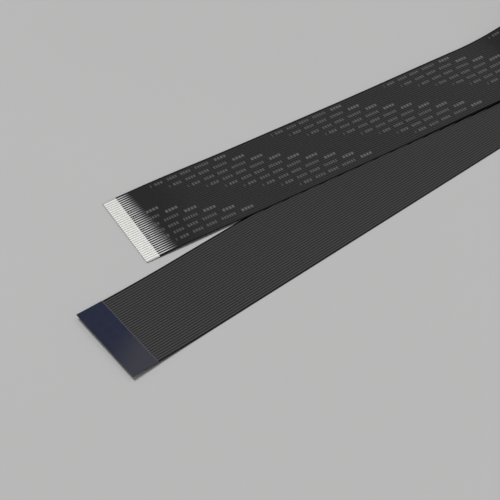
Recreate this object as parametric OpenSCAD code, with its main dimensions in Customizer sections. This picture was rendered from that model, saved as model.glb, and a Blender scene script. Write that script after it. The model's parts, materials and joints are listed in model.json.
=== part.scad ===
// A flat flex cable: a row of flat tinned conductors laminated between two films, bare on one face at
// both ends, where a stiffener backs them. It lies on a table in a long open loop, one run over the other.
// Millimetres, +Z up, X along the loop, origin at the middle of the footprint.

/* [Conductors] */
// Number of conductors, side by side
conductor_count = 32; // [4:1:32]
// Distance from the middle of one conductor to the next
pitch = 1; // [0.9:0.05:1.25]
// Width of a conductor
conductor_w = 0.7; // [0.4:0.05:0.75]
// Thickness of a conductor
conductor_t = 0.1; // [0.06:0.01:0.12]
// Film beyond the outermost conductors
edge_margin = 0.65; // [0.3:0.05:1.5]

/* [Films] */
// Thickness of each film with its adhesive
film_t = 0.06; // [0.04:0.01:0.09]
// How far a ridge in the film reaches past the conductor under it
ridge_wall = 0.06; // [0.03:0.01:0.09]
// Clearance round a conductor, which adhesive fills
bond_gap = 0.005; // [0.003:0.001:0.01]

/* [Ends] */
// Length of bare conductor at each end
exposed_l = 5.5; // [3:0.5:10]
// Length of the stiffener at each end
stiffener_l = 11; // [6:0.5:20]
// Thickness of the stiffener
stiffener_t = 0.15; // [0.1:0.01:0.25]

/* [Length and loop] */
// Length of the whole cable along its middle
cable_l = 700; // [680:5:760]
// Length of the lower run, from its tip to where the loop starts
lower_l = 332.5; // [300:2.5:350]
// Angle between the two runs, seen from above
runs_angle = 6.8; // [0:0.2:10]
// Radius of the loop at the middle of the cable
loop_r = 20; // [12:1:24]
// Radius where the cable comes over the top of the loop
crest_r = 40; // [25:1:60]
// Radius where it comes down to the upper run
foot_r = 100; // [60:5:120]
// Rise of the slope between the two
slope_rise = 44; // [40:1:55]
// Run of the slope between the two
slope_run = 117; // [105:1:125]

/* [How the runs lie] */
// Gap between the two runs where one lies on the other
run_gap = 0.05; // [0.03:0.01:0.2]
// Height that the lower tip curls up to
curl_h = 1.7; // [0.2:0.1:3]
// Length of the curl
curl_l = 42; // [20:1:60]
// Height of the arch behind the upper tip
arch_h = 0.5; // [0.1:0.1:2]
// Length behind the stiffener over which the upper run bends level, at the top of the arch
arch_l = 13; // [8:1:24]
// Where the arch ends, from the upper tip
arch_end = 60; // [45:1:75]
// Height that the upper run has gained where it meets the foot of the slope
lift_h = 0.85; // [0.2:0.05:2]
// Length over which it gains that height
lift_l = 62; // [30:1:80]

/* [Hidden] */
function two_digits(i) = str(i < 10 ? "0" : "", i);
function conductor_name(i) = str("conductor_", two_digits(i));

// Across the cable
cable_w = (conductor_count - 1) * pitch + conductor_w + 2 * edge_margin;
ridge_w = conductor_w + 2 * ridge_wall;

// Through the cable: heights above its middle surface, towards the inside of the loop
film_out = film_t + conductor_t / 2;
cable_t = 2 * film_out;

// Along the cable: heights of the middle surface above the table
lower_z = film_out;
upper_z = lower_z + cable_t + run_gap;
tip_z = stiffener_t + film_out;
lift_z = upper_z + lift_h;
arch_z = upper_z + arch_h;
loop_z = lower_z + loop_r;
top_z = loop_z + loop_r;

// The slope's length follows from the height that the crest and foot leave to it
slope_a = atan2(slope_rise, slope_run);
slope_l = (top_z - lift_z - (crest_r + foot_r) * (1 - cos(slope_a))) / sin(slope_a);
crest_end = [-crest_r * sin(slope_a), top_z - crest_r * (1 - cos(slope_a))];
foot_start = crest_end - slope_l * [cos(slope_a), sin(slope_a)];
foot_x = foot_start.x - foot_r * sin(slope_a);

// What is left of the cable's length is the upper run
arc_deg = PI / 180;
upper_l = cable_l - lower_l - PI * loop_r - (crest_r + foot_r) * slope_a * arc_deg - slope_l;
half_a = runs_angle / 2;
upper_tip = foot_x - upper_l;
lower_tip = -lower_l;

// Plan distances from each tip to the far side of the loop, where the runs change over
lower_reach = loop_r + lower_l;
upper_reach = loop_r - upper_tip;

// Box of the laid cable, with the far side of the loop at x = 0
far_x = film_out;
near_x = -lower_reach * cos(half_a) - cable_w / 2 * sin(half_a);
low_y = -lower_reach * sin(half_a) - cable_w / 2 * cos(half_a);
high_y = upper_reach * sin(half_a) + cable_w / 2 * cos(half_a);

// The upper tip is straight over its stiffener, and behind it loses its slope evenly up to the arch
arch_at = stiffener_l + arch_l;
tip_slope = (arch_z - tip_z) / (stiffener_l + arch_l / 2);

// Spare length and width of the swept sheets, which the plan of each piece trims
spare = 4;
sheet_w = high_y - low_y + 2 * spare;

// Straight pieces in the curl, in each side of the arch and in the lift
curl_steps = 3;
arch_steps = 2;
lift_steps = 3;

// How far the tools that groove a film pass its faces
overcut = 0.2;

$fn = 180;

function ease(t) = t * t * (3 - 2 * t);
function between(a, b, t) = a + (b - a) * ease(max(0, min(1, t)));

// Height of the middle surface of the lower run at a distance from its tip
function lower_rise(u) = lower_z + curl_h * pow(max(0, 1 - u / curl_l), 2);

// Height of the middle surface of the upper run at a distance from its tip
function upper_rise(u) =
    u < stiffener_l ? tip_z + tip_slope * u
    : u < arch_at ? arch_z - tip_slope * pow(arch_at - u, 2) / (2 * arch_l)
    : u < arch_end ? between(arch_z, upper_z, (u - arch_at) / (arch_end - arch_at))
    : between(upper_z, lift_z, 1 - (upper_l - u) / lift_l);

// Evenly spaced distances from one to another
function spread(from, to, steps) = [for (i = [0:steps]) from + (to - from) * i / steps];

// Distances from the lower tip at which its run bends
lower_steps = concat(spread(-spare, curl_l, curl_steps), [lower_l]);

// Distances from the upper tip at which its run bends
upper_steps = concat(
    [-spare],
    spread(stiffener_l, arch_at, arch_steps),
    spread(arch_at + (arch_end - arch_at) / arch_steps, arch_end, arch_steps - 1),
    spread(upper_l - lift_l, upper_l, lift_steps)
);

// Heights from near to far on one face of the middle surface: side is 1 inside the loop, -1 outside
function span(side, near, far) = side > 0 ? [near, far] : [-far, -near];

// Half of a disc about the middle of the loop's ring: side is 1 for its upper half, -1 for its lower half
module half_disc(r, side) {
    translate([0, loop_z]) intersection() {
        circle(r = r);
        translate([-r, min(0, side * r)]) square([2 * r, r]);
    }
}

// What the lower half of the cable goes round, up to a height above its middle surface
module lower_inside(h) {
    polygon(concat(
        [for (u = lower_steps) [lower_tip + u, lower_rise(u) + h]],
        [[0, loop_z], [lower_tip - spare, loop_z]]
    ));
    half_disc(loop_r - h, -1);
}

// What the upper half of the cable goes round, up to a height above its middle surface
module upper_inside(h) {
    inward = h * [sin(slope_a), -cos(slope_a)];
    difference() {
        polygon(concat(
            [[0, -spare], [0, top_z - h], crest_end + inward, foot_start + inward],
            [for (i = [len(upper_steps) - 1:-1:0])
                [upper_tip + upper_steps[i], upper_rise(upper_steps[i]) - h]],
            [[upper_tip - spare, -spare]]
        ));
        translate([foot_x, lift_z + foot_r]) circle(r = foot_r + h);
    }
    intersection() {
        translate([0, top_z - crest_r]) circle(r = crest_r - h);
        translate([h - crest_r, loop_z]) square(crest_r - h);
    }
    half_disc(loop_r - h, 1);
}

// Section of the lower half of the cable, from its tip to the far side of the loop
module lower_section(low, high) {
    difference() {
        lower_inside(low);
        lower_inside(high);
    }
}

// Section of the upper half of the cable, from the far side of the loop to its tip
module upper_section(low, high) {
    difference() {
        upper_inside(low);
        upper_inside(high);
    }
}

// Sweeps a section across the table, with the far side of the loop at x = 0
module sheet() {
    translate([-loop_r, sheet_w / 2, 0]) rotate([90, 0, 0]) linear_extrude(sheet_w) children();
}

// Lower half of the cable between two heights, cut to a plan
module lower_half(heights) {
    intersection() {
        sheet() lower_section(heights[0], heights[1]);
        rotate(half_a) translate([0, 0, -spare]) linear_extrude(top_z + 2 * spare) children();
    }
}

// Upper half of the cable between two heights, cut to a plan
module upper_half(heights) {
    intersection() {
        sheet() upper_section(heights[0], heights[1]);
        rotate(-half_a) translate([0, 0, -spare]) linear_extrude(top_z + 2 * spare) children();
    }
}

// Centres the laid cable over the origin
module laid() {
    translate([-(near_x + far_x) / 2, -(low_y + high_y) / 2, 0]) children();
}

// Plan of a strip of the cable, from a distance off its tip to past the loop
module strip_plan(reach, trim, w) {
    translate([trim - reach, -w / 2]) square([reach - trim + spare, w]);
}

// Plan of one conductor, or of what follows it, at its place across the cable
module track_plan(i, reach, trim, w) {
    translate([0, (i - (conductor_count + 1) / 2) * pitch]) strip_plan(reach, trim, w);
}

// Plan of all the conductors, or of what follows them
module tracks_plan(reach, trim, w) {
    for (i = [1:conductor_count]) track_plan(i, reach, trim, w);
}

// Plan of what lies beside the ridges
module valleys_plan(reach) {
    difference() {
        strip_plan(reach, -spare, cable_w + 2 * spare);
        tracks_plan(reach, -2 * spare, ridge_w);
    }
}

// One film: a ridge on its face over each conductor, and a groove behind the ridge that holds it
module film(side, trim) {
    body = span(side, 0, film_out);
    valley = span(side, film_t, film_out + overcut);
    groove = span(side, -overcut, conductor_t / 2 + bond_gap);
    groove_w = conductor_w + 2 * bond_gap;
    laid() union() {
        difference() {
            lower_half(body) strip_plan(lower_reach, trim, cable_w);
            lower_half(valley) valleys_plan(lower_reach);
            lower_half(groove) tracks_plan(lower_reach, -spare, groove_w);
        }
        difference() {
            upper_half(body) strip_plan(upper_reach, trim, cable_w);
            upper_half(valley) valleys_plan(upper_reach);
            upper_half(groove) tracks_plan(upper_reach, -spare, groove_w);
        }
    }
}

// Outer film, printed, cut short at both ends to bare the conductors
module printed_film() {
    color("#303230") film(-1, exposed_l);
}

// Inner film, plain, as long as the cable
module plain_film() {
    color("#383835") film(1, 0);
}

// One conductor, as long as the cable
module conductor(i) {
    body = [-conductor_t / 2, conductor_t / 2];
    color("#ebece4") laid() union() {
        lower_half(body) track_plan(i, lower_reach, 0, conductor_w);
        upper_half(body) track_plan(i, upper_reach, 0, conductor_w);
    }
}

// Plan of a stiffener
module stiffener_plan(reach) {
    translate([-reach, -cable_w / 2]) square([stiffener_l, cable_w]);
}

// Stiffener on the plain film at the lower tip
module lower_stiffener() {
    color("#2e3448") laid()
        lower_half(span(1, film_out, film_out + stiffener_t)) stiffener_plan(lower_reach);
}

// Stiffener on the plain film at the upper tip
module upper_stiffener() {
    color("#2e3448") laid()
        upper_half(span(1, film_out, film_out + stiffener_t)) stiffener_plan(upper_reach);
}

printed_film();
plain_film();
lower_stiffener();
upper_stiffener();
for (i = [1:conductor_count])
    conductor(i);
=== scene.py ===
# %% [markdown]
# # A flat flex cable, laid in an open loop
#
# A flat flex cable joins two circuit boards where nothing thicker fits. Flat strips of tinned copper lie
# side by side between two films, which are pressed together hot. At each end the printed film stops
# short, so that the strips lie bare on a tongue, and a stiff blue tape behind them lets the tongue be
# pushed into its connector.
#
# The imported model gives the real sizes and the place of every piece. This lesson dresses it: one tree
# of Geometry Nodes lays every layer along the same route, so the layers bend together and never part.

import json
import math

import bpy
from mathutils import Matrix, Vector

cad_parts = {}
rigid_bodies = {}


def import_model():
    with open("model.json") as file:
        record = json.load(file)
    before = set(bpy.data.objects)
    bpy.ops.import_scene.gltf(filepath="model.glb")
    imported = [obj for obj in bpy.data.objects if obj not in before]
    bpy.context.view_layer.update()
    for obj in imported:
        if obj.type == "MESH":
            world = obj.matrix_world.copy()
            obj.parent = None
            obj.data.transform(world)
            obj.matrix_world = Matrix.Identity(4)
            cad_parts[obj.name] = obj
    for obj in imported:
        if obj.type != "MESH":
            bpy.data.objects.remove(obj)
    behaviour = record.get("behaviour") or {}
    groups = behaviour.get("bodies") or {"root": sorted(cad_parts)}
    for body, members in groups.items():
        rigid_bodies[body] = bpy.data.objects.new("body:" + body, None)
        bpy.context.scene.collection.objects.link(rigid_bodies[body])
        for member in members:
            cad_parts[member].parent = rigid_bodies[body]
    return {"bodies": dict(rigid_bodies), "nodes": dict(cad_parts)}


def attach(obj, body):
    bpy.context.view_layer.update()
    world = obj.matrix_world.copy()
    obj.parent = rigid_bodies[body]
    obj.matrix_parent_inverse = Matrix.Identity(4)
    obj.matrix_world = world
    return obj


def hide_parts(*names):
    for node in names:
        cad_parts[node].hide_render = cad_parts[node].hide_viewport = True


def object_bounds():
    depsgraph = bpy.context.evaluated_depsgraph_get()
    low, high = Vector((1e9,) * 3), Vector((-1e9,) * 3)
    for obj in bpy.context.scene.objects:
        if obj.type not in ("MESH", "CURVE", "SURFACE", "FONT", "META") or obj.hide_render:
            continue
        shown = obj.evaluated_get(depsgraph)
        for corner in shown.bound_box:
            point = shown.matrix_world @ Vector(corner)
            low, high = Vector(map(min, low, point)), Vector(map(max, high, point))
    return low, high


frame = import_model()
cad_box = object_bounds()
print("nodes in the packed model:", len(frame["nodes"]))

# %% [markdown]
# ## Sizes
#
# Blender works in metres, and a cable is drawn in millimetres, so every length below is a plain number
# times `MM`. Only the driving sizes are typed. Anything else, such as the width, follows from them, and
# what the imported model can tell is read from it.

# %% Sizes of the cable
MM = 0.001

conductor_nodes = sorted(name for name in frame["nodes"] if name.startswith("conductor_"))
conductor_count = len(conductor_nodes)
pitch = 1.0 * MM
conductor_w = 0.7 * MM
conductor_t = 0.1 * MM
film_t = 0.06 * MM
edge_margin = 0.65 * MM
exposed_l = 5.5 * MM
stiffener_l = 11.0 * MM
stiffener_t = 0.15 * MM

cable_w = (conductor_count - 1) * pitch + conductor_w + 2 * edge_margin
film_out = film_t + conductor_t / 2
print(f"{conductor_count} conductors, {cable_w / MM:.1f} mm wide, {2 * film_out / MM:.2f} mm thick")

# %% [markdown]
# ## The camera
#
# The camera comes first, because everything after it is judged through it. It looks down on the two
# ends from about 50 degrees, with a long lens that keeps the edges of the cable nearly parallel. It is
# described as a person would say it: what it looks at, from which side, how steeply and how far off.

# %% Camera
look_at = Vector((-107.4, -12.4, 0.0)) * MM
heading = math.radians(49.8)
steepness = math.radians(50.28)
roll = math.radians(4.94)
distance = 523.4 * MM
lens = 102.5

away = Vector((math.cos(heading), math.sin(heading), 0))
sideways = Vector((math.sin(heading), -math.cos(heading), 0))
forward = away * math.cos(steepness) - Vector((0, 0, math.sin(steepness)))
upright = sideways.cross(forward)
right = sideways * math.cos(roll) + upright * math.sin(roll)
up = upright * math.cos(roll) - sideways * math.sin(roll)

camera_data = bpy.data.cameras.new("camera")
camera_data.lens = lens
camera = bpy.data.objects.new("camera", camera_data)
bpy.context.scene.collection.objects.link(camera)
turn = Matrix((right, up, -forward)).transposed()
camera.matrix_world = Matrix.Translation(look_at - forward * distance) @ turn.to_4x4()
bpy.context.scene.camera = camera
print("camera stands at", [round(value / MM) for value in camera.matrix_world.translation], "mm")

# %% [markdown]
# ## The route
#
# Seen from the side, the cable runs along the table, turns back over itself in a loop, comes down a
# slope and lies on its own lower run. A ribbon that bends only one way keeps straight lines across it,
# so this side view holds the whole shape. It could be drawn by hand as a curve, but then the length of
# cable in it would be a guess. Here it is made of straight stretches, arcs and a few gentle height
# functions, each written as a formula and walked in even steps.
#
# For now, zero of the X axis is the far side of the loop, where the two runs change over.

# %% Sizes of the route
cable_l = 700.0 * MM
lower_l = 332.5 * MM
runs_angle = 6.8
loop_r = 20.0 * MM
crest_r = 40.0 * MM
foot_r = 100.0 * MM
slope_rise = 44.0 * MM
slope_run = 117.0 * MM
run_gap = 0.05 * MM
curl_h = 1.7 * MM
curl_l = 42.0 * MM
arch_h = 0.5 * MM
arch_l = 13.0 * MM
arch_end = 60.0 * MM
lift_h = 0.85 * MM
lift_l = 62.0 * MM

half_angle = math.radians(runs_angle / 2)
lower_z = film_out
upper_z = lower_z + 2 * film_out + run_gap
tip_z = stiffener_t + film_out
arch_z = upper_z + arch_h
lift_z = upper_z + lift_h
loop_z = lower_z + loop_r
top_z = loop_z + loop_r

slope_angle = math.atan2(slope_rise, slope_run)
bends_drop = (crest_r + foot_r) * (1 - math.cos(slope_angle))
slope_l = (top_z - lift_z - bends_drop) / math.sin(slope_angle)
upper_l = cable_l - lower_l - math.pi * loop_r - (crest_r + foot_r) * slope_angle - slope_l
print(f"slope {slope_l / MM:.1f} mm, upper run {upper_l / MM:.1f} mm")

# %% [markdown]
# The cable is springy, so its tips don't lie flat. The lower one curls up off the table. The upper one
# is straight over its stiffener, stands on it, and arches a little behind it before the run lies down.

# %% Heights of the two runs
arch_at = stiffener_l + arch_l
tip_slope = (arch_z - tip_z) / (stiffener_l + arch_l / 2)


def between(low, high, t):
    """A height that leaves low and reaches high level, as t goes from 0 to 1."""
    t = max(0.0, min(1.0, t))
    return low + (high - low) * t * t * (3 - 2 * t)


def lower_height(u):
    """Height of the lower run's middle surface at a distance from its tip."""
    return lower_z + curl_h * max(0.0, 1 - u / curl_l) ** 2


def upper_height(u):
    """Height of the upper run's middle surface at a distance from its tip."""
    if u < stiffener_l:
        return tip_z + tip_slope * u
    if u < arch_at:
        return arch_z - tip_slope * (arch_at - u) ** 2 / (2 * arch_l)
    if u < arch_end:
        return between(arch_z, upper_z, (u - arch_at) / (arch_end - arch_at))
    return between(upper_z, lift_z, 1 - (upper_l - u) / lift_l)


print(f"the lower tip is {lower_height(0) / MM:.2f} mm up, the upper one {upper_height(0) / MM:.2f} mm")

# %% [markdown]
# Now the route is walked from tip to tip, and the length of cable is measured on it. `spare` carries it
# past both tips, for the corners of their slanted cuts.

# %% Walking the route
route_step = 1.0 * MM
spare = 2.0 * MM


def steps(start, end, step=route_step):
    """Even steps of about a length from start up to, but not including, end."""
    count = max(1, round(abs(end - start) / step))
    return [start + (end - start) * i / count for i in range(count)]


def arc(x, z, radius, start, end):
    """Points on an arc between two angles."""
    angles = steps(start, end, route_step / radius)
    return [(x + radius * math.cos(a), z + radius * math.sin(a)) for a in angles]


bends_run = (crest_r + foot_r) * math.sin(slope_angle)
lower_reach = loop_r + lower_l
upper_reach = loop_r + bends_run + slope_l * math.cos(slope_angle) + upper_l
lower_start = lower_reach * (1 - math.cos(half_angle)) - spare
upper_start = upper_reach * (1 - math.cos(half_angle)) - spare
crest_x = -loop_r - crest_r * math.sin(slope_angle)
crest_z = top_z - crest_r * (1 - math.cos(slope_angle))
foot_x = upper_l - upper_reach

route = [(u - lower_reach, lower_height(u)) for u in steps(lower_start, lower_l)]
ring_start = len(route)
route += arc(-loop_r, loop_z, loop_r, -math.pi / 2, math.pi / 2)
route += arc(-loop_r, top_z - crest_r, crest_r, math.pi / 2, math.pi / 2 + slope_angle)
route += [
    (crest_x - d * math.cos(slope_angle), crest_z - d * math.sin(slope_angle))
    for d in steps(0, slope_l)
]
route += arc(foot_x, lift_z + foot_r, foot_r, slope_angle - math.pi / 2, -math.pi / 2)
route += [(u - upper_reach, upper_height(u)) for u in steps(upper_l, upper_start) + [upper_start]]

stretches = [math.dist(a, b) for a, b in zip(route, route[1:])]
laid_l = sum(stretches) - 2 * spare
changeover = sum(stretches[:ring_start]) + math.pi / 2 * loop_r - spare
print(f"route of {len(route)} points, {laid_l / MM:.2f} mm of cable")

# %% [markdown]
# ## The route as a curve
#
# Geometry Nodes can sample a curve at any length along it, so the side view becomes a curve object. It
# is only a guide: it is removed again once the pieces are made. `origin` is where the far side of the
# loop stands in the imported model.

# %% Guide curve
low_y = -lower_reach * math.sin(half_angle) - cable_w / 2 * math.cos(half_angle)
high_y = upper_reach * math.sin(half_angle) + cable_w / 2 * math.cos(half_angle)
origin = Vector((cad_box[1][0] - film_out, -(low_y + high_y) / 2, 0))

guide_data = bpy.data.curves.new("route_guide", "CURVE")
guide_data.dimensions = "3D"
spline = guide_data.splines.new("POLY")
spline.points.add(len(route) - 1)
for point, (x, z) in zip(spline.points, route):
    point.co = (x, 0, z, 1)
guide = bpy.data.objects.new("route_guide", guide_data)
bpy.context.scene.collection.objects.link(guide)
print("far side of the loop at", [round(value / MM, 2) for value in origin])

# %% [markdown]
# ## Writing node trees as sums
#
# Node trees for shapes and for finishes are mostly arithmetic. Joining Math nodes by hand hides the
# formula, so one small class stands for a socket and gives it the usual operators: `a + b` adds a Math
# node and returns its output. Every other node comes from one method, `node`.


# %% Sockets with arithmetic
class Wire:
    """An output socket of a node tree. Arithmetic on it adds Math nodes to the tree."""

    def __init__(self, graph, socket):
        self.graph = graph
        self.socket = socket

    def other(self, name):
        """Another output of the same node."""
        return Wire(self.graph, self.socket.node.outputs[name])

    def maths(self, operation, *values):
        return self.graph.maths(operation, self, *values)

    def __add__(self, value):
        return self.graph.maths("ADD", self, value)

    def __sub__(self, value):
        return self.graph.maths("SUBTRACT", self, value)

    def __rsub__(self, value):
        return self.graph.maths("SUBTRACT", value, self)

    def __mul__(self, value):
        return self.graph.maths("MULTIPLY", self, value)

    def __truediv__(self, value):
        return self.graph.maths("DIVIDE", self, value)

    def __lt__(self, value):
        return self.graph.maths("LESS_THAN", self, value)

    def __gt__(self, value):
        return self.graph.maths("GREATER_THAN", self, value)

    def __abs__(self):
        return self.graph.maths("ABSOLUTE", self)

    __radd__ = __add__
    __rmul__ = __mul__


class Graph:
    """A node tree that is being written."""

    def __init__(self, tree):
        self.tree = tree

    def node(self, kind, settings=None, inputs=None, out=0):
        """Adds a node, sets it up, fills its sockets by name or number, and gives one output."""
        node = self.tree.nodes.new(kind)
        for name, value in (settings or {}).items():
            setattr(node, name, value)
        for key, value in (inputs or {}).items():
            if isinstance(value, Wire):
                self.tree.links.new(value.socket, node.inputs[key])
            else:
                node.inputs[key].default_value = value
        return Wire(self, node.outputs[out]) if node.outputs else None

    def maths(self, operation, *values):
        return self.node("ShaderNodeMath", {"operation": operation}, dict(enumerate(values)))


print("Math nodes are written as sums")

# %% [markdown]
# ## One group lays every layer
#
# Each piece is first made straight, and every point of it carries three numbers: how far along the
# cable it is, how far across, and how high over the middle surface. This group turns those numbers into
# a place. It samples the route at the distance along, moves out along the route's normal by the height,
# and sets the point across by its line over the bend. The two runs leave the loop at a small angle to
# each other, so the group swings one half left and the other right, and slants the ends to match.


# %% Group that lays a straight strip along the route
def number(graph, name):
    """A number stored on the points of the geometry."""
    return graph.node("GeometryNodeInputNamedAttribute", {"data_type": "FLOAT"}, {"Name": name})


def vector(graph, x, y, z):
    return graph.node("ShaderNodeCombineXYZ", inputs={0: x, 1: y, 2: z})


def lay_group():
    group = bpy.data.node_groups.new("lay_along_route", "GeometryNodeTree")
    group.interface.new_socket("Geometry", in_out="INPUT", socket_type="NodeSocketGeometry")
    group.interface.new_socket("Route", in_out="INPUT", socket_type="NodeSocketObject")
    group.interface.new_socket("Geometry", in_out="OUTPUT", socket_type="NodeSocketGeometry")
    graph = Graph(group)
    given = graph.node("NodeGroupInput")
    curve = graph.node("GeometryNodeObjectInfo", inputs={0: given.other("Route")}).other("Geometry")
    along = number(graph, "along")
    across = number(graph, "across")
    height = number(graph, "height")
    lower = along < changeover
    slant = lower * (1 - along / changeover)
    slant = slant + (1 - lower) * (along - changeover) / (laid_l - changeover)
    place = along + spare - across * math.sin(half_angle) * slant
    sample = graph.node(
        "GeometryNodeSampleCurve", {"mode": "LENGTH"}, {"Curves": curve, "Length": place}
    )
    middle = graph.node("ShaderNodeSeparateXYZ", inputs={0: sample.other("Position")})
    tangent = graph.node("ShaderNodeSeparateXYZ", inputs={0: sample.other("Tangent")})
    x = middle.other("X") - tangent.other("Z") * height
    z = middle.other("Z") + tangent.other("X") * height
    swing = middle.other("X") * math.tan(half_angle) * (lower * 2 - 1)
    y = swing + across / math.cos(half_angle)
    laid = graph.node(
        "GeometryNodeSetPosition",
        inputs={
            "Geometry": given.other("Geometry"),
            "Position": vector(graph, x + origin.x, y + origin.y, z),
        },
    )
    graph.node("NodeGroupOutput", inputs={0: laid})
    return group


lay_along_route = lay_group()
print("nodes in the group:", len(lay_along_route.nodes))

# %% [markdown]
# ## Straight strips from a ring of points
#
# `Curve to Mesh` drags a closed ring along a line and caps both ends, which gives a solid with its
# faces outward. A thickened plane would be simpler, but it can't have ridges on one face only. The
# ring's own shape doesn't matter, because its points only carry the numbers that the group reads. All
# the pieces share `strip`, and the flat bars among them share `slab`.


# %% Strips and slabs
def store(graph, geometry, name, value):
    """Stores a number on the points of the geometry."""
    return graph.node(
        "GeometryNodeStoreNamedAttribute",
        {"data_type": "FLOAT", "domain": "POINT"},
        {"Geometry": geometry, "Name": name, "Value": value},
    )


def strip(graph, points, across, height, start, end, rings):
    """A straight solid strip: a ring of points with an across and a height, dragged from start to end."""
    ring = graph.node("GeometryNodeCurvePrimitiveCircle", inputs={"Resolution": points})
    ring = store(graph, ring, "across", across)
    ring = store(graph, ring, "height", height)
    line = graph.node("GeometryNodeCurvePrimitiveLine", inputs={"End": (1, 0, 0)})
    line = graph.node("GeometryNodeResampleCurve", {"mode": "COUNT"}, {"Curve": line, "Count": rings})
    index = graph.node("GeometryNodeInputIndex")
    line = store(graph, line, "along", start + index * (end - start) / (rings - 1))
    return graph.node(
        "GeometryNodeCurveToMesh", inputs={"Curve": line, "Profile Curve": ring, "Fill Caps": True}
    )


slab_points = 8


def slab(graph, width, low, high, edge):
    """Across and height of the 8 points of a flat bar with its edges taken off."""
    turn_by = (graph.node("GeometryNodeInputIndex") + 0.5) * (2 * math.pi / slab_points)
    out = turn_by.maths("COSINE")
    rise = turn_by.maths("SINE")
    on_flat_face = abs(out) < 0.5
    on_side = abs(rise) < 0.5
    across = out.maths("SIGN") * (width / 2 - on_flat_face * edge)
    height = (high + low) / 2 + rise.maths("SIGN") * ((high - low) / 2 - on_side * edge)
    return across, height


print("strips and slabs can be made straight")

# %% [markdown]
# Every tree opens and closes the same way. It takes the route, the finish and its own sizes, and it ends
# by laying the strip and making it plain mesh. Faces are shaded smooth round the loop, but an edge over
# 30 degrees stays sharp, or the flat conductors would shine like pillows.

# %% Opening and closing a tree
sharp_from = math.radians(30)


def new_tree(name, sizes):
    """A tree with the route, a finish and named sizes as inputs; gives its graph and those inputs."""
    tree = bpy.data.node_groups.new(name, "GeometryNodeTree")
    tree.interface.new_socket("Geometry", in_out="INPUT", socket_type="NodeSocketGeometry")
    tree.interface.new_socket("Route", in_out="INPUT", socket_type="NodeSocketObject")
    tree.interface.new_socket("Finish", in_out="INPUT", socket_type="NodeSocketMaterial")
    for size in sizes:
        tree.interface.new_socket(size, in_out="INPUT", socket_type="NodeSocketFloat")
    tree.interface.new_socket("Geometry", in_out="OUTPUT", socket_type="NodeSocketGeometry")
    graph = Graph(tree)
    return graph, graph.node("NodeGroupInput")


def close_tree(graph, given, geometry):
    """Lays the straight piece, shades it, makes it plain mesh and gives it its finish."""
    laid = graph.node(
        "GeometryNodeGroup",
        {"node_tree": lay_along_route},
        {"Geometry": geometry, "Route": given.other("Route")},
    )
    smooth = graph.node("GeometryNodeSetShadeSmooth", inputs={"Geometry": laid})
    corner = graph.node("GeometryNodeInputMeshEdgeAngle") > sharp_from
    shaded = graph.node(
        "GeometryNodeSetShadeSmooth",
        {"domain": "EDGE"},
        {"Geometry": smooth, "Selection": corner, "Shade Smooth": False},
    )
    plain = graph.node("GeometryNodeRealizeInstances", inputs={"Geometry": shaded})
    done = graph.node(
        "GeometryNodeSetMaterial", inputs={"Geometry": plain, "Material": given.other("Finish")}
    )
    graph.node("NodeGroupOutput", inputs={0: done})
    return graph.tree


print("trees can be opened and closed")

# %% [markdown]
# A modifier runs the tree on an empty object. Its result is kept as a plain mesh and the modifier is
# removed, so that a finished piece depends on nothing else.


# %% Growing a piece from its tree
def grow(name, tree, finish, sizes):
    """Runs a tree and keeps its result as a plain mesh object at the origin."""
    holder = bpy.data.objects.new(name, bpy.data.meshes.new(name))
    bpy.context.scene.collection.objects.link(holder)
    modifier = holder.modifiers.new("made", "NODES")
    modifier.node_group = tree
    values = {"Route": guide, "Finish": finish, **sizes}
    for item in tree.interface.items_tree:
        if item.in_out == "INPUT" and item.name in values:
            modifier[item.identifier] = values[item.name]
    depsgraph = bpy.context.evaluated_depsgraph_get()
    mesh = bpy.data.meshes.new_from_object(holder.evaluated_get(depsgraph), depsgraph=depsgraph)
    holder.modifiers.remove(modifier)
    holder.data = mesh
    mesh.name = name
    print(f"{name}: {len(mesh.polygons)} faces")
    return holder


body = next(iter(frame["bodies"]))
print("every piece will ride on the body", body)

# %% [markdown]
# ## Finishes
#
# A finish is a small function that writes one material. What changes over the surface is worked out from
# the numbers that each piece carries, so stripes and print follow the cable round every bend.


# %% Helpers for finishes
def grey(value):
    return (value, value, value, 1.0)


def new_finish(name):
    """An empty material and its graph."""
    material = bpy.data.materials.new(name)
    material.use_nodes = True
    material.node_tree.nodes.clear()
    return material, Graph(material.node_tree)


def close_finish(material, graph, colour, roughness, metallic=0.0, specular=0.5):
    """Gives the material its one shader."""
    shader = graph.node(
        "ShaderNodeBsdfPrincipled",
        inputs={
            "Base Color": colour,
            "Roughness": roughness,
            "Metallic": metallic,
            "Specular IOR Level": specular,
        },
    )
    graph.node("ShaderNodeOutputMaterial", inputs={"Surface": shader})
    return material


def stored(graph, name):
    """A number that the piece carries, in millimetres."""
    return graph.node("ShaderNodeAttribute", {"attribute_name": name}).other("Fac") / MM


def from_cut(along):
    """Distance to the nearer cut end of the cable, in millimetres."""
    return along.maths("MINIMUM", laid_l / MM - along)


def blend(graph, factor, first, second):
    """A colour between two, by a factor."""
    return graph.node(
        "ShaderNodeMix", {"data_type": "RGBA"}, {"Factor": factor, 6: first, 7: second}, out=2
    )


def noise(graph, scale, detail):
    """Soft noise on the piece's own place, from 0 to 1."""
    place = graph.node("ShaderNodeTexCoord").other("Object")
    return graph.node("ShaderNodeTexNoise", inputs={"Vector": place, "Scale": scale, "Detail": detail})


def smooth_range(graph, value, low, high, to_low=0.0, to_high=1.0):
    """Eases a value from one range into another."""
    return graph.node(
        "ShaderNodeMapRange",
        {"interpolation_type": "SMOOTHSTEP"},
        {0: value, 1: low, 2: high, 3: to_low, 4: to_high},
    )


def ridge_wave(across, period):
    """1 over the middle of each conductor, -1 between two and over the margins."""
    phase = (across / period - (conductor_count - 1) / 2) * (2 * math.pi)
    inside = abs(across) < conductor_count * period / 2
    return inside * (phase.maths("COSINE") + 1) - 1


print("helpers for finishes are ready")

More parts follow.
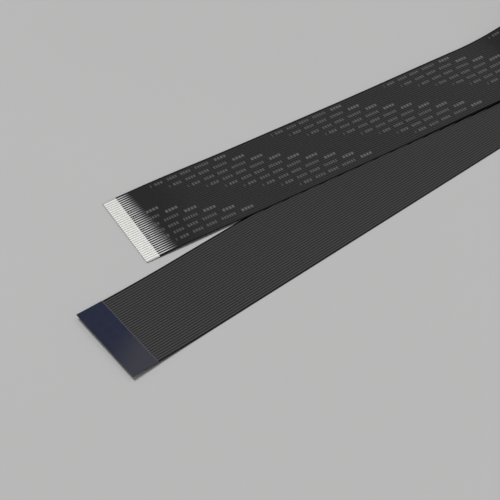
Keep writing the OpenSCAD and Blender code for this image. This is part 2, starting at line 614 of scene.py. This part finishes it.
# %% [markdown]
# ## The printed marks
#
# The outer film carries lines of small grey printing, in strings of short words. Each line starts a
# little further along than the one before, so the strings form slanting bands. Here every word is a row
# of plain bars: they have the size and grey of small print, and spell nothing. A picture could hold
# them, but it would have to be wrapped round the loop. A formula on the numbers along and across follows
# the film by itself.

# %% Layout of the printed marks, in millimetres
row_gap = 3.4
row_shift = 6.27
first_row = 2.2
rows = 9
string_gap = 55.2
string_start = 108.7
bar_h = 1.25

# Where a word starts, its bars, the distance from bar to bar, their width, and how strong the ink is
words = [
    (0.4, 4, 1.35, 0.95, 1.0),
    (8.3, 6, 1.05, 0.62, 0.75),
    (16.5, 4, 1.15, 0.75, 0.75),
    (22.5, 4, 1.15, 0.75, 0.68),
    (28.8, 3, 1.25, 0.85, 0.75),
    (33.6, 1, 1.0, 0.45, 0.6),
]


def printed_marks(graph):
    """Mask of the marks: how strong the ink is, and 0 off it."""
    from_edge = cable_w / MM / 2 - stored(graph, "across")
    from_tip = laid_l / MM - stored(graph, "along")
    row = ((from_edge - first_row) / row_gap).maths("ROUND")
    off_row = abs(from_edge - first_row - row * row_gap)
    run = (row * row_shift + string_start - from_tip).maths("FLOORED_MODULO", string_gap)
    ink = 0
    for start, bars, bar_gap, bar_w, strength in words:
        inside = (run > start) * (run < start + bars * bar_gap)
        bar = (run - start).maths("FLOORED_MODULO", bar_gap) < bar_w
        ink = inside * bar * strength + ink
    return ink * (off_row < bar_h / 2) * (row < rows - 0.5)


print(f"{rows} rows of marks, {len(words)} words in every {string_gap} mm")

# %% [markdown]
# ## Film finishes
#
# Both films are the same glossy dark polyester, a little paler over the copper and nearly black in the
# margins, where there is none; that black is deepened as painted shade, for the dark line under the
# raised edges. Pale lines along the ridges are a painted highlight, where the ridges catch the light. On
# the printed side they fade out a few millimetres from the bare ends, sooner on one side of the cable
# than on the other. On the plain side they are fainter, brightest by the stiffener, and go on along the
# whole run. A real highlight on the ridges can't be baked, so here the lines are painted.


# %% What the two films share
def film_ground(graph, across, wave):
    """Cloudy dark polyester over copper and margins."""
    pale_cloud = (0.0135, 0.0155, 0.014, 1)
    dark_cloud = (0.0085, 0.0105, 0.009, 1)
    over_copper = (0.016, 0.017, 0.016, 1)
    colour = blend(graph, noise(graph, 60.0, 2.0), pale_cloud, dark_cloud)
    colour = blend(graph, smooth_range(graph, wave, -0.8, 0.2), colour, over_copper)
    # The margins are nearly black: the bare film, darkened further as painted shade under the raised
    # edges.
    margin_and_shade = abs(across) > (cable_w / 2 - edge_margin) / MM
    return blend(graph, margin_and_shade, colour, grey(0.003))


def film_gloss(graph):
    """Roughness of the film: glossy, with a fine haze."""
    return 0.08 + noise(graph, 900.0, 3.0) * 0.06


def highlights_gone(across, past_start, length):
    """How far the painted highlight lines are on their way out: 0 where they start, 1 after about a
    length.
    """
    one_sided = 0.4
    return past_start / (length * (1.0 - across / (cable_w / MM) * one_sided))


film_specular = 0.35
print("both films start from the same polyester")


# %% Printed film finish
def printed_film_finish():
    """Dark film with short pale painted highlight lines beside the bare ends, and worn grey print."""
    highlight_l = 6.6
    highlight_grey = grey(0.72)
    ink_grey = grey(0.15)
    material, graph = new_finish("printed_film")
    across = stored(graph, "across")
    wave = ridge_wave(across, pitch / MM)
    past_start = from_cut(stored(graph, "along")) - exposed_l / MM
    highlight_fade = smooth_range(graph, highlights_gone(across, past_start, highlight_l), 0.2, 1.1, 1.0, 0.0)
    lines = smooth_range(graph, wave, 0.2, 0.5)
    colour = film_ground(graph, across, wave)
    # Painted highlight: pale lines on the ridges, fading out a few millimetres past the bare ends.
    colour = blend(graph, highlight_fade * lines, colour, highlight_grey)
    worn = smooth_range(graph, noise(graph, 2200.0, 3.0), 0.35, 0.7, 0.5, 1.0)
    colour = blend(graph, printed_marks(graph) * worn, colour, ink_grey)
    return close_finish(material, graph, colour, film_gloss(graph), specular=film_specular)


printed_finish = printed_film_finish()
print("finish:", printed_finish.name)


# %% Plain film finish
def plain_film_finish():
    """Dark film with long faint painted highlight lines, and a grey inner face where the conductors lie
    bare on it.
    """
    highlight_l = 150.0
    highlight_grey = grey(0.072)
    inner_grey = grey(0.48)
    cut_face = 0.02
    material, graph = new_finish("plain_film")
    across = stored(graph, "across")
    wave = ridge_wave(across, pitch / MM)
    from_end = from_cut(stored(graph, "along"))
    past_start = from_end - stiffener_l / MM
    highlight_fade = smooth_range(graph, highlights_gone(across, past_start, highlight_l), 0.0, 1.0, 1.0, 0.5)
    lines = smooth_range(graph, wave, 0.3, 0.9)
    colour = film_ground(graph, across, wave)
    # Painted highlight: faint pale lines on the ridges, brightest by the stiffener.
    colour = blend(graph, highlight_fade * lines, colour, highlight_grey)
    inner = abs(stored(graph, "height")) < film_t / MM / 2
    inner = inner * (from_end > cut_face) * (abs(across) < cable_w / MM / 2 - cut_face)
    colour = blend(graph, inner, colour, inner_grey)
    return close_finish(material, graph, colour, film_gloss(graph), specular=film_specular)


plain_finish = plain_film_finish()
print("finish:", plain_finish.name)

# %% [markdown]
# ## The two films
#
# Pressed over the conductors, each film stands in a low ridge over every one of them and sinks between
# two. A bump in the finish could fake that, but the ridges show in the cut ends and catch the light in
# the loop, so they are modelled. The ring of a film has eight points for every conductor, whose height
# follows a wave, and one straight side for its inner face. The printed film starts and ends where the
# conductors come out from under it; the plain one runs the full length.

# %% The films
columns_each = 8
columns = round(cable_w / pitch * columns_each) + 1
long_rings = 320


def film_tree():
    graph, given = new_tree("film", ["Start", "End", "Side", "Valley", "Ridge"])
    index = graph.node("GeometryNodeInputIndex")
    column = (index - 1).maths("MAXIMUM", 0).maths("MINIMUM", columns - 1)
    across = column * (cable_w / (columns - 1)) - cable_w / 2
    outer = (index > 0.5) * (index < columns + 0.5)
    rise = smooth_range(graph, ridge_wave(across, pitch), -1.0, 0.1)
    height = given.other("Valley") + (given.other("Ridge") - given.other("Valley")) * rise
    piece = strip(
        graph,
        columns + 2,
        across,
        height * outer * given.other("Side"),
        given.other("Start"),
        given.other("End"),
        long_rings,
    )
    return close_tree(graph, given, piece)


film = film_tree()
film_sizes = {"Valley": film_t, "Ridge": film_out}
printed_film = grow(
    "printed_film_laid",
    film,
    printed_finish,
    {"Start": exposed_l, "End": laid_l - exposed_l, "Side": -1.0, **film_sizes},
)
plain_film = grow(
    "plain_film_laid", film, plain_finish, {"Start": 0.0, "End": laid_l, "Side": 1.0, **film_sizes}
)

# %% [markdown]
# ## Tin
#
# The conductors are flat-rolled copper with a skin of tin. Rolling leaves faint lines along them. The
# shader's own anisotropy could stretch the highlights, but it is lost when a finish is baked, so the
# lines are noise that is read on the numbers along and across. The shears that cut the cable leave the
# copper bare on the end faces, which are painted very dark: partly bare copper, partly painted shade.


# %% Tin finish
def tin_finish():
    """Bright rolled tin with faint lines along it, and dark copper with painted shade where it is cut."""
    grey_tin = (0.58, 0.58, 0.562, 1)
    pale_tin = (0.69, 0.69, 0.665, 1)
    cut_copper_and_shade = (0.06, 0.035, 0.02, 1)
    cut_face = 0.005
    material, graph = new_finish("tinned_copper")
    across = stored(graph, "across")
    along = stored(graph, "along")
    place = vector(graph, along * 0.15, across * 14.0, 0.0)
    lines = graph.node("ShaderNodeTexNoise", inputs={"Vector": place, "Scale": 1.0, "Detail": 3.0})
    colour = blend(graph, lines, grey_tin, pale_tin)
    # The cut end faces are bare copper, darkened further as painted shade.
    colour = blend(graph, from_cut(along) < cut_face, colour, cut_copper_and_shade)
    return close_finish(material, graph, colour, 0.34 + lines * 0.16, metallic=1.0)


tin = tin_finish()
print("finish:", tin.name)

# %% [markdown]
# ## The conductors
#
# All of them are alike, so one straight bar is made and instanced on a point for each conductor. An
# Array modifier could repeat it too, but an instance can carry a number: here the place of its track
# across the cable, which is added to the bar's own numbers once the instances are realized. The cut
# ends stand a hair proud of the film, so that the dark copper and its painted shade show.

# %% The conductors
conductor_edge = 0.015 * MM
cut_proud = 0.02 * MM


def conductors_tree():
    graph, given = new_tree("conductors", ["Start", "End", "Width", "Thickness", "Edge", "Pitch"])
    half = given.other("Thickness") / 2
    across, height = slab(graph, given.other("Width"), 0 - half, half, given.other("Edge"))
    bar = strip(
        graph, slab_points, across, height, given.other("Start"), given.other("End"), long_rings
    )
    points = graph.node("GeometryNodeMeshLine", inputs={"Count": conductor_count})
    bars = graph.node("GeometryNodeInstanceOnPoints", inputs={"Points": points, "Instance": bar})
    index = graph.node("GeometryNodeInputIndex")
    bars = graph.node(
        "GeometryNodeStoreNamedAttribute",
        {"data_type": "FLOAT", "domain": "INSTANCE"},
        {"Geometry": bars, "Name": "track", "Value": index - (conductor_count - 1) / 2},
    )
    bars = graph.node("GeometryNodeRealizeInstances", inputs={"Geometry": bars})
    track = number(graph, "track") * given.other("Pitch")
    bars = store(graph, bars, "across", number(graph, "across") + track)
    return close_tree(graph, given, bars)


conductors = grow(
    "conductors_laid",
    conductors_tree(),
    tin,
    {
        "Start": -cut_proud,
        "End": laid_l + cut_proud,
        "Width": conductor_w,
        "Thickness": conductor_t,
        "Edge": conductor_edge,
        "Pitch": pitch,
    },
)

# %% [markdown]
# ## Stiffener tape
#
# The stiffener is polyester tape, dyed dark blue and a little glossy. Towards one side of the cable it
# is paler, a painted reflection, and along its inner edge a thin painted highlight stands for the step
# that catches the light.


# %% Stiffener finish
def stiffener_finish():
    """Dark blue polyester tape, with a painted reflection towards one side and a painted highlight on its
    inner edge.
    """
    far_blue = (0.004, 0.009, 0.034, 1)
    reflection_blue = (0.032, 0.034, 0.050, 1)
    edge_highlight_blue = (0.08, 0.08, 0.10, 1)
    material, graph = new_finish("stiffener_tape")
    from_end = from_cut(stored(graph, "along"))
    # Painted reflection: the tape is paler towards one side of the cable.
    side = smooth_range(graph, stored(graph, "across") - from_end * 0.5, 0.0, -16.0)
    colour = blend(graph, side, far_blue, reflection_blue)
    # Painted highlight: a thin pale line along the inner edge, where the step catches the light.
    edge_highlight = smooth_range(graph, from_end, stiffener_l / MM - 0.35, stiffener_l / MM - 0.15)
    colour = blend(graph, edge_highlight, colour, edge_highlight_blue)
    return close_finish(material, graph, colour, 0.2 + noise(graph, 500.0, 2.0) * 0.1)


blue_tape = stiffener_finish()
print("finish:", blue_tape.name)

# %% [markdown]
# ## The stiffeners
#
# A stiffener is a short piece of the tape on the plain side of each end. A flat box would do on a flat
# cable, but these tips bend, so it is one more bar that the group lays, across the whole cable and at
# the height of the plain film's ridges.

# %% The stiffeners
tape_rings = 12
tape_sizes = {
    "Width": cable_w,
    "Low": film_out,
    "High": film_out + stiffener_t,
    "Edge": 0.02 * MM,
}


def stiffener_tree():
    graph, given = new_tree("stiffener", ["Start", "End", "Width", "Low", "High", "Edge"])
    across, height = slab(
        graph, given.other("Width"), given.other("Low"), given.other("High"), given.other("Edge")
    )
    bar = strip(
        graph, slab_points, across, height, given.other("Start"), given.other("End"), tape_rings
    )
    return close_tree(graph, given, bar)


stiffener = stiffener_tree()
lower_stiffener = grow(
    "lower_stiffener_laid", stiffener, blue_tape, {"Start": 0.0, "End": stiffener_l, **tape_sizes}
)
upper_stiffener = grow(
    "upper_stiffener_laid",
    stiffener,
    blue_tape,
    {"Start": laid_l - stiffener_l, "End": laid_l, **tape_sizes},
)

# %% [markdown]
# ## What stands for what
#
# Each laid piece takes the place of its solids in the imported model, rides on the same body and names the
# material slot that it takes its finish from.

# %% Riding and replacing
pieces = {
    "printed_film": (printed_film, ["printed_film"], "printed_film"),
    "plain_film": (plain_film, ["plain_film"], "plain_film"),
    "conductors": (conductors, conductor_nodes, "tinned_copper"),
    "lower_stiffener": (lower_stiffener, ["lower_stiffener"], "stiffener_tape"),
    "upper_stiffener": (upper_stiffener, ["upper_stiffener"], "stiffener_tape"),
}
for piece, nodes, slot in pieces.values():
    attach(piece, body)
    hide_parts(*nodes)
print("pieces laid:", ", ".join(pieces))


# %% The cord
def laid_middle():
    """Middle line of the laid cable, in the model's frame."""
    line = []
    gone = -spare
    for (x, z), stretch in zip(route, stretches + [0.0]):
        if -route_step / 2 < gone < laid_l + route_step / 2:
            side = 1 if gone < changeover else -1
            line.append((x + origin.x, x * math.tan(half_angle) * side + origin.y, z))
        gone += stretch
    return line


middle_line = laid_middle()
bpy.data.objects.remove(guide)
print("middle line of", len(middle_line), "points")

# %% [markdown]
# ## Table and light
#
# The table is a plain pale sheet, far wider than the cable. The light is that of a bright room: a wide
# soft sun nearly overhead, a weak one from the side of the loop, and pale walls all round. A sun lights
# every part of a long cable alike, where a lamp close by would leave one end in the dark.


# %% Table
def table_finish():
    material, graph = new_finish("table")
    colour = blend(graph, noise(graph, 6.0, 2.0), grey(0.50), grey(0.53))
    return close_finish(material, graph, colour, 0.7, specular=0.3)


table_half = 6.0
table_corners = [
    (-table_half, -table_half, 0),
    (table_half, -table_half, 0),
    (table_half, table_half, 0),
    (-table_half, table_half, 0),
]
table_mesh = bpy.data.meshes.new("table")
table_mesh.from_pydata(table_corners, [], [(0, 1, 2, 3)])
table_mesh.materials.append(table_finish())
table = bpy.data.objects.new("table", table_mesh)
bpy.context.scene.collection.objects.link(table)
print(f"table {2 * table_half:.0f} m wide")


# %% Lights
def soft_sun(name, towards, strength, width):
    """Even light from one direction, as wide as a window looks; width is in degrees."""
    data = bpy.data.lights.new(name, "SUN")
    data.energy = strength
    data.angle = math.radians(width)
    light = bpy.data.objects.new(name, data)
    light.rotation_euler = Vector(towards).to_track_quat("Z", "Y").to_euler()
    bpy.context.scene.collection.objects.link(light)


soft_sun("overhead", (-0.10, 0.40, 1.0), 1.91, 22)
soft_sun("window", (0.55, 0.10, 0.83), 0.2, 28)

world = bpy.data.worlds.new("room")
world.use_nodes = True
room_light = world.node_tree.nodes["Background"]
room_light.inputs["Color"].default_value = (0.88, 0.88, 0.87, 1)
room_light.inputs["Strength"].default_value = 0.34
bpy.context.scene.world = world
bpy.context.scene.view_settings.view_transform = "Standard"
print("two soft suns and a pale room")
